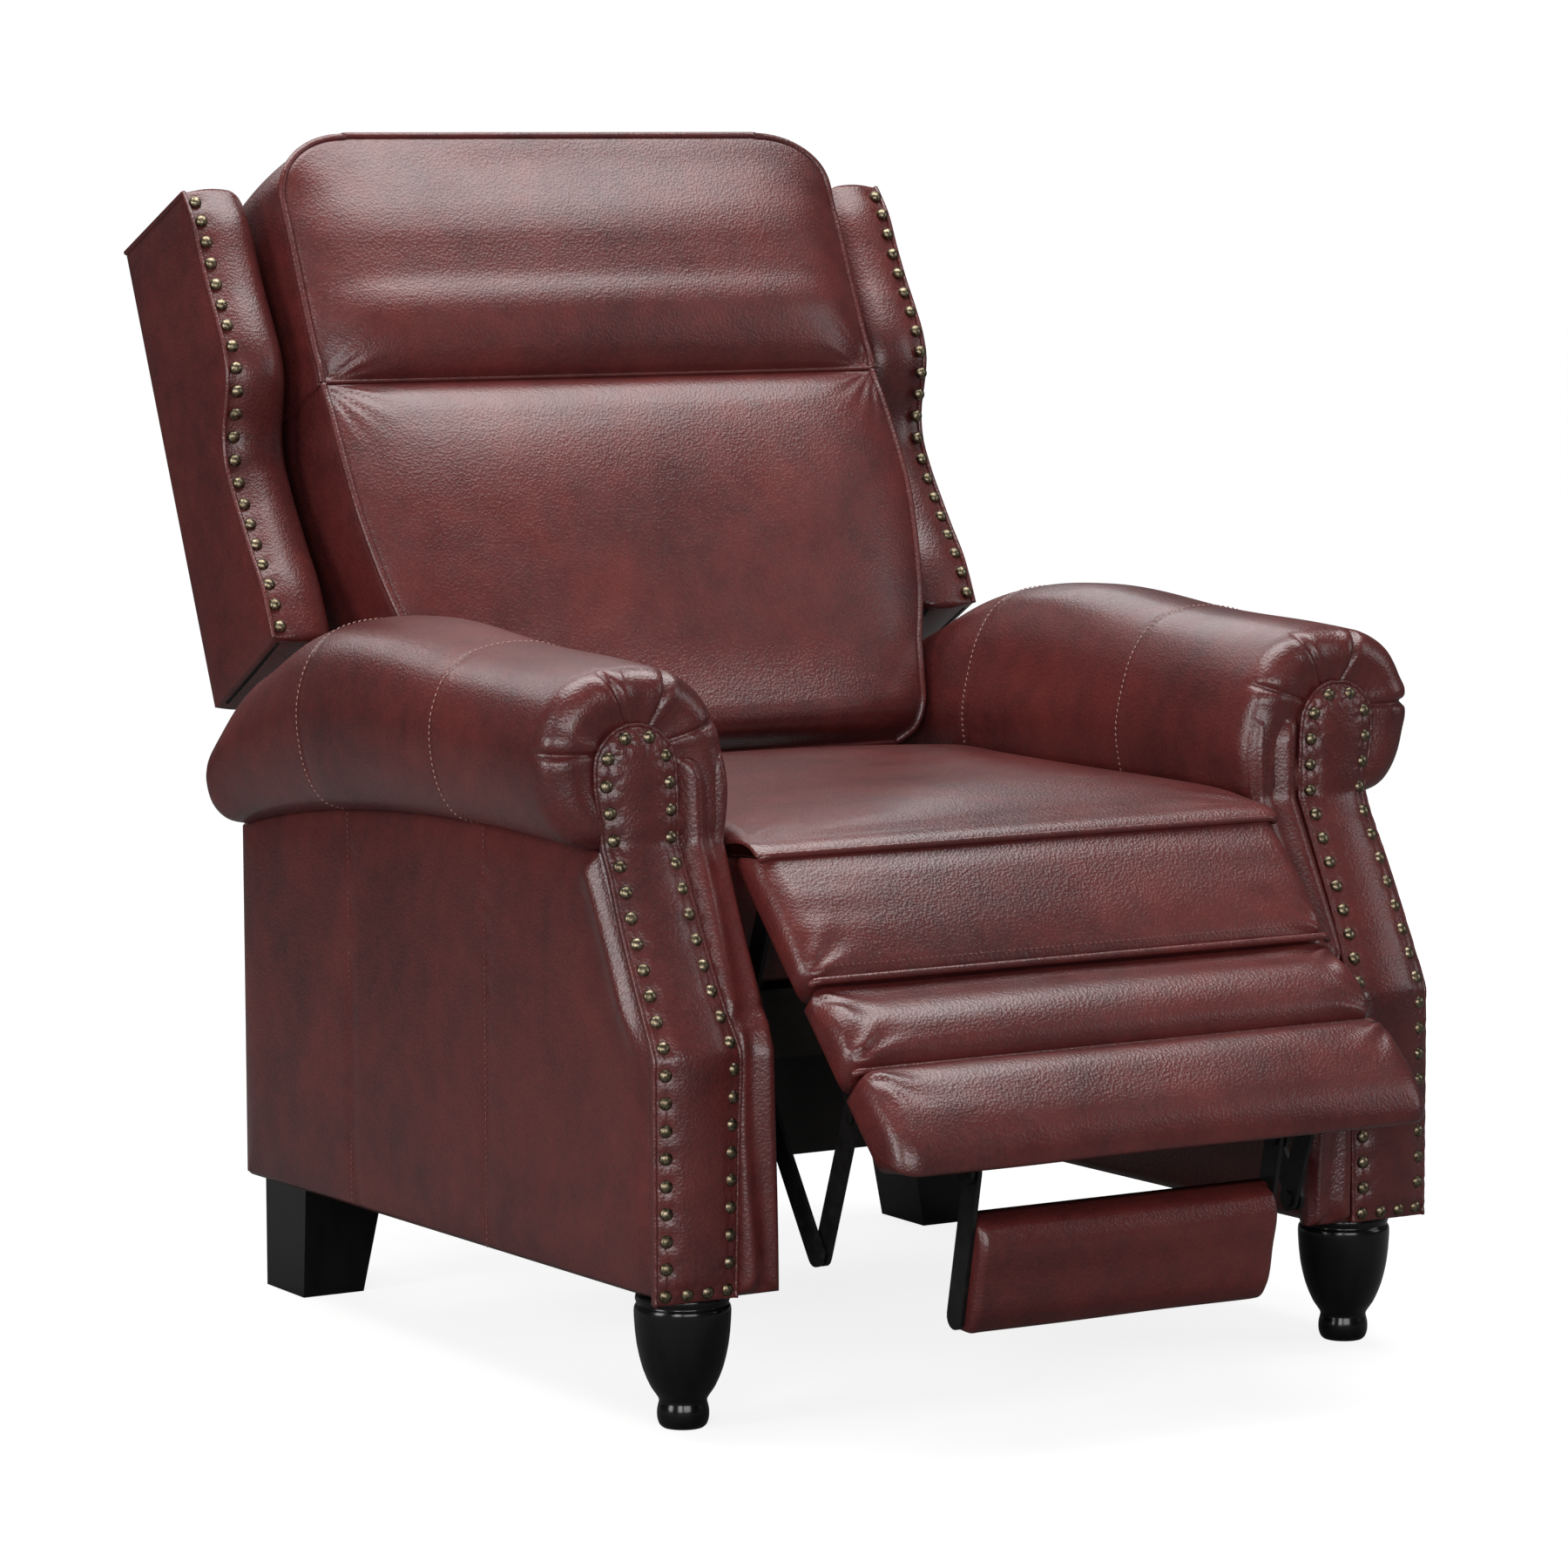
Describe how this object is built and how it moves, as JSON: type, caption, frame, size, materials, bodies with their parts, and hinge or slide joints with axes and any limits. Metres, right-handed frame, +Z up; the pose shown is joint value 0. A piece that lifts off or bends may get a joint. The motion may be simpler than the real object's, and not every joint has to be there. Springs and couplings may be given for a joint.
{
  "type": "wingback recliner",
  "caption": "Leather wingback recliner with rolled nail-trimmed arms, tilting back, sliding seat and a linkage footrest with a folding flipper.",
  "frame": {"origin": "middle of the overall footprint, on the floor, in the half-open pose of the picture", "axes": "+Z up, the front faces -Y, +X is the sitter's left"},
  "size_m": [0.886, 1.2178, 1.0715],
  "materials": {
    "leather": "satin, oxblood",
    "black_wood": "gloss black lacquer",
    "hardwood": "raw sawn",
    "black_steel": "black coated",
    "spring_steel": "oiled wire",
    "dust_cover": "black non-woven cloth"
  },
  "bodies": {
    "base": {"arm_core_left": "hardwood", "arm_core_right": "hardwood", "arm_front_panel_left": "leather", "arm_front_panel_right": "leather", "arm_roll_left": "leather", "arm_roll_right": "leather", "arm_side_left": "leather", "arm_side_right": "leather", "base_cross_tube": "black_steel", "base_rail_left": "black_steel", "base_rail_right": "black_steel", "front_cross_rail": "hardwood", "front_leg_left": "black_wood", "front_leg_right": "black_wood", "rear_cross_rail": "hardwood", "rear_leg_left": "black_wood", "rear_leg_right": "black_wood"},
    "front_swing_links": {"front_swing_link_left": "black_steel", "front_swing_link_right": "black_steel"},
    "rear_swing_links": {"rear_swing_link_left": "black_steel", "rear_swing_link_right": "black_steel"},
    "seat": {"seat_cushion": "leather", "seat_frame": "hardwood", "seat_side_plate_left": "black_steel", "seat_side_plate_right": "black_steel", "seat_spring_1": "spring_steel", "seat_spring_2": "spring_steel", "seat_spring_3": "spring_steel", "seat_spring_4": "spring_steel"},
    "back": {"back_bracket_left": "black_steel", "back_bracket_right": "black_steel", "back_frame": "hardwood", "back_rear_cover": "leather", "back_spring_1": "spring_steel", "back_spring_2": "spring_steel", "back_spring_3": "spring_steel", "head_cushion": "leather", "lumbar_cushion": "leather", "wing_board_left": "hardwood", "wing_board_right": "hardwood", "wing_left": "leather", "wing_right": "leather", "wing_underside_left": "dust_cover", "wing_underside_right": "dust_cover"},
    "footrest": {"flipper_lug_left": "black_steel", "flipper_lug_right": "black_steel", "footrest_board": "hardwood", "footrest_bracket_left": "black_steel", "footrest_bracket_right": "black_steel", "footrest_channel_pad": "leather", "footrest_front_pad": "leather", "footrest_main_pad": "leather"},
    "flipper": {"flipper_arm_left": "black_steel", "flipper_arm_right": "black_steel", "flipper_board": "hardwood", "flipper_pad": "leather"},
    "front_links": {"front_link_left": "black_steel", "front_link_right": "black_steel"},
    "ottoman_links": {"ottoman_link_left": "black_steel", "ottoman_link_right": "black_steel"}
  },
  "joints": [
    {"name": "seat_swing", "type": "hinge", "parent": "base", "child": "front_swing_links", "pos_m": [0, -0.18743, 0.187], "axis": [1, 0, 0], "range_deg": [-18, 12]},
    {"name": "seat_level", "type": "hinge", "parent": "front_swing_links", "child": "seat", "pos_m": [0, -0.18743, 0.272], "axis": [1, 0, 0], "range_deg": [-12, 18]},
    {"name": "rear_swing", "type": "hinge", "parent": "base", "child": "rear_swing_links", "pos_m": [0, 0.14757, 0.187], "axis": [1, 0, 0], "range_deg": [-18, 12]},
    {"name": "footrest_swing", "type": "hinge", "parent": "seat", "child": "footrest", "pos_m": [0, -0.35743, 0.452], "axis": [-1, 0, 0], "range_deg": [-45, 30]},
    {"name": "front_link_swing", "type": "hinge", "parent": "seat", "child": "front_links", "pos_m": [0, -0.31193, 0.33], "axis": [-1, 0, 0], "range_deg": [-45, 30]},
    {"name": "ottoman_link_swing", "type": "hinge", "parent": "front_links", "child": "ottoman_links", "pos_m": [0, -0.43744, 0.14509], "axis": [-1, 0, 0], "range_deg": [-30, 45]},
    {"name": "flipper_swing", "type": "hinge", "parent": "footrest", "child": "flipper", "pos_m": [0, -0.53421, 0.22148], "axis": [-1, 0, 0], "range_deg": [-67.5, 45]},
    {"name": "back_recline", "type": "hinge", "parent": "seat", "child": "back", "pos_m": [0, 0.22757, 0.4], "axis": [-1, 0, 0], "range_deg": [-10, 25]}
  ],
  "couplings": [
    {"joint": "seat_level", "follows": "seat_swing", "ratio": -1},
    {"joint": "rear_swing", "follows": "seat_swing", "ratio": 1},
    {"joint": "footrest_swing", "follows": "seat_swing", "ratio": 2.5},
    {"joint": "front_link_swing", "follows": "seat_swing", "ratio": 2.5},
    {"joint": "ottoman_link_swing", "follows": "seat_swing", "ratio": -2.5},
    {"joint": "flipper_swing", "follows": "seat_swing", "ratio": 3.75}
  ]
}
